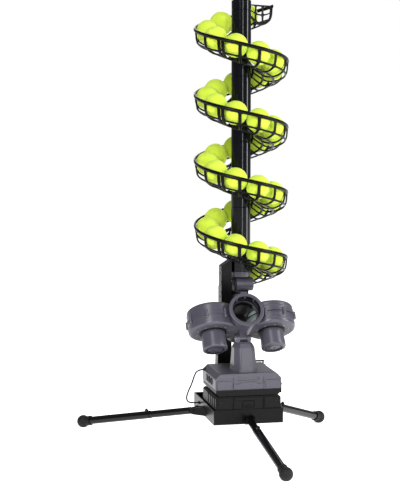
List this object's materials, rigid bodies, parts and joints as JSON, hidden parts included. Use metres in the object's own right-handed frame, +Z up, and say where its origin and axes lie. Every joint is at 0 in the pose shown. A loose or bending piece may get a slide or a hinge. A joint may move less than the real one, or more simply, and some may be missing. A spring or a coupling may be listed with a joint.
{
  "type": "tennis ball machine",
  "caption": "Tennis ball machine with a spiral ball tower, two-wheel throwing head, stacked cases and tripod legs.",
  "frame": {"origin": "on the ground under the middle of the machine's box", "axes": "+Z up along the tower, -Y the way the balls are thrown, +X to the right seen from the front"},
  "size_m": [0.724, 0.7436, 1.2248],
  "materials": {
    "trough_plastic": "semi gloss",
    "column_black": "gloss",
    "ball_felt": "felt",
    "grey_plastic": "satin",
    "wheel_rubber": "matt",
    "hub_metal": "satin",
    "black_plastic": "satin",
    "dull_steel": "satin",
    "black_sheet": "satin",
    "black_rubber": "matt",
    "leg_tube": "gloss",
    "button_plastic": "gloss",
    "cable_sheath": "satin"
  },
  "bodies": {
    "root": {"balls_lower": "ball_felt", "balls_middle": "ball_felt", "balls_upper": "ball_felt", "base_tray": "black_sheet", "battery_case": "black_plastic", "battery_pack": "dull_steel", "cable_gland": "black_rubber", "cable_plug": "black_plastic", "column_cap": "column_black", "column_collar": "grey_plastic", "column_tube_1": "column_black", "column_tube_2": "column_black", "column_tube_3": "column_black", "column_tube_4": "column_black", "control_case_base": "black_plastic", "control_case_lid": "grey_plastic", "feed_belt": "black_rubber", "feed_chute": "black_plastic", "feeder_brackets": "black_sheet", "feeder_motor": "grey_plastic", "leg_brackets": "black_sheet", "pedestal": "grey_plastic", "pedestal_fork": "grey_plastic", "power_cable": "cable_sheath", "rear_post": "black_sheet", "tilt_pin": "dull_steel", "trough_1": "trough_plastic", "trough_2": "trough_plastic", "trough_3": "trough_plastic", "trough_4": "trough_plastic", "trough_5": "trough_plastic"},
    "head": {"head_upper_shell": "grey_plastic", "head_lower_shell": "grey_plastic", "barrel": "grey_plastic", "motor_can_left": "grey_plastic", "motor_can_right": "grey_plastic", "motor_cores": "dull_steel", "head_bracket": "grey_plastic"},
    "wheel_left": {"wheel_hub_left": "hub_metal", "wheel_tyre_left": "wheel_rubber"},
    "wheel_right": {"wheel_hub_right": "hub_metal", "wheel_tyre_right": "wheel_rubber"},
    "feeder_drive": {"feeder_pulley": "black_plastic"},
    "feeder_star": {"feed_wheel": "black_plastic"},
    "handle": {"carry_handle": "black_plastic"},
    "battery_flap": {"battery_latch": "black_plastic"},
    "case_clip": {"case_latch": "black_plastic"},
    "switch": {"power_switch": "black_plastic"},
    "leg_front_arm": {"leg_front_inner": "leg_tube"},
    "leg_front_sleeve": {"leg_front_outer": "leg_tube", "leg_front_foot": "black_rubber"},
    "leg_front_press": {"leg_front_button": "button_plastic"},
    "leg_left_arm": {"leg_left_inner": "leg_tube"},
    "leg_left_sleeve": {"leg_left_outer": "leg_tube", "leg_left_foot": "black_rubber"},
    "leg_left_press": {"leg_left_button": "button_plastic"},
    "leg_right_arm": {"leg_right_inner": "leg_tube"},
    "leg_right_sleeve": {"leg_right_outer": "leg_tube", "leg_right_foot": "black_rubber"},
    "leg_right_press": {"leg_right_button": "button_plastic"}
  },
  "joints": [
    {"name": "head_tilt", "type": "hinge", "parent": "root", "child": "head", "pos_m": [0.05053, 0.00963, 0.30301], "axis": [-1, 0, 0], "range_deg": [-27, 8]},
    {"name": "wheel_left_spin", "type": "hinge", "parent": "head", "child": "wheel_left", "pos_m": [-0.03135, 0.0368, 0.3465], "axis": [0, 0.5299, 0.848], "continuous": true},
    {"name": "wheel_right_spin", "type": "hinge", "parent": "head", "child": "wheel_right", "pos_m": [0.1324, 0.0368, 0.3465], "axis": [0, 0.5299, 0.848], "continuous": true},
    {"name": "feeder_motor_spin", "type": "hinge", "parent": "root", "child": "feeder_drive", "pos_m": [0.06541, 0.18057, 0.43004], "axis": [1, 0, 0], "continuous": true},
    {"name": "feed_wheel_spin", "type": "hinge", "parent": "root", "child": "feeder_star", "pos_m": [0.07534, 0.23184, 0.43831], "axis": [1, 0, 0], "continuous": true},
    {"name": "handle_fold", "type": "hinge", "parent": "root", "child": "handle", "pos_m": [0.11999, 0.11854, 0.2051], "axis": [-1, 0, 0], "range_deg": [0, 90]},
    {"name": "battery_latch_open", "type": "hinge", "parent": "root", "child": "battery_flap", "pos_m": [0.05053, -0.05099, 0.12777], "axis": [1, 0, 0], "range_deg": [0, 70]},
    {"name": "case_latch_open", "type": "hinge", "parent": "root", "child": "case_clip", "pos_m": [0.14414, -0.02783, 0.16044], "axis": [0, 1, 0], "range_deg": [0, 95]},
    {"name": "power_switch_rock", "type": "hinge", "parent": "root", "child": "switch", "pos_m": [-0.03796, 0.05321, 0.19104], "axis": [0, 1, 0], "range_deg": [-6, 6]},
    {"name": "leg_front_fold", "type": "hinge", "parent": "root", "child": "leg_front_arm", "pos_m": [0.05053, -0.06918, 0.09262], "axis": [0.9968, 0.0802, 0], "range_deg": [0, 70]},
    {"name": "leg_front_slide", "type": "slide", "parent": "leg_front_arm", "child": "leg_front_sleeve", "axis": [0.0775, -0.9635, -0.2563], "range_m": [-0.03515, 0.10875]},
    {"name": "leg_front_button_press", "type": "slide", "parent": "leg_front_sleeve", "child": "leg_front_press", "axis": [-0.0206, 0.2555, -0.9666], "range_m": [0, 0.002], "stiffness_N_per_m": 800},
    {"name": "leg_left_fold", "type": "hinge", "parent": "root", "child": "leg_left_arm", "pos_m": [-0.06525, 0.09208, 0.09262], "axis": [-0.6845, -0.729, 0], "range_deg": [0, 70]},
    {"name": "leg_left_slide", "type": "slide", "parent": "leg_left_arm", "child": "leg_left_sleeve", "axis": [-0.7151, 0.6715, -0.1943], "range_m": [-0.12943, 0.01447]},
    {"name": "leg_left_button_press", "type": "slide", "parent": "leg_left_sleeve", "child": "leg_left_press", "axis": [0.1416, -0.133, -0.9809], "range_m": [0, 0.002], "stiffness_N_per_m": 800},
    {"name": "leg_right_fold", "type": "hinge", "parent": "root", "child": "leg_right_arm", "pos_m": [0.16631, 0.09208, 0.09262], "axis": [-0.7071, 0.7071, 0], "range_deg": [0, 70]},
    {"name": "leg_right_slide", "type": "slide", "parent": "leg_right_arm", "child": "leg_right_sleeve", "axis": [0.677, 0.677, -0.2886], "range_m": [-0.00207, 0.14183]},
    {"name": "leg_right_button_press", "type": "slide", "parent": "leg_right_sleeve", "child": "leg_right_press", "axis": [-0.2041, -0.2041, -0.9574], "range_m": [0, 0.002], "stiffness_N_per_m": 800}
  ],
  "couplings": [
    {"joint": "feed_wheel_spin", "follows": "feeder_motor_spin", "ratio": 1.8333}
  ]
}
